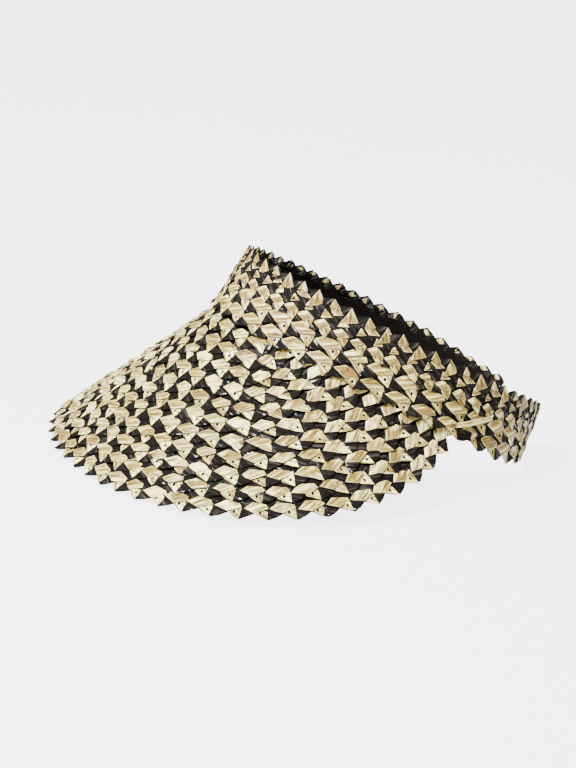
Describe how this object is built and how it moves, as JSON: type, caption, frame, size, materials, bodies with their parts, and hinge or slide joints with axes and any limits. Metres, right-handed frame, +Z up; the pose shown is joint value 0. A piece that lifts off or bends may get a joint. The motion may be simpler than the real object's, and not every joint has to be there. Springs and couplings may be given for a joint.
{
  "type": "straw visor",
  "caption": "Wrap-around sun visor of black and natural plaited straw: crown band open at the back, wide sloping brim, toothed edges, black sweatband.",
  "frame": {"origin": "centre of the bounding box's underside, on the surface that the visor rests on", "axes": "+Z up, brim's front towards -Y, wearer's left towards +X; at rest the crown ring is tilted 26.25 degrees, front up"},
  "size_m": [0.2776, 0.284, 0.1205],
  "materials": {
    "straw": "plaited natural and black straw, satin",
    "sweatband": "matte black cloth"
  },
  "bodies": {
    "root": {"crown_row_1": "straw", "crown_row_2": "straw", "crown_row_3": "straw", "brim_row_1": "straw", "brim_row_2": "straw", "brim_row_3": "straw", "brim_row_4": "straw", "brim_row_5": "straw", "brim_row_6": "straw", "brim_row_7": "straw", "brim_row_8": "straw", "brim_row_9": "straw", "brim_row_10": "straw", "brim_row_11": "straw", "sweatband": "sweatband"}
  },
  "joints": []
}
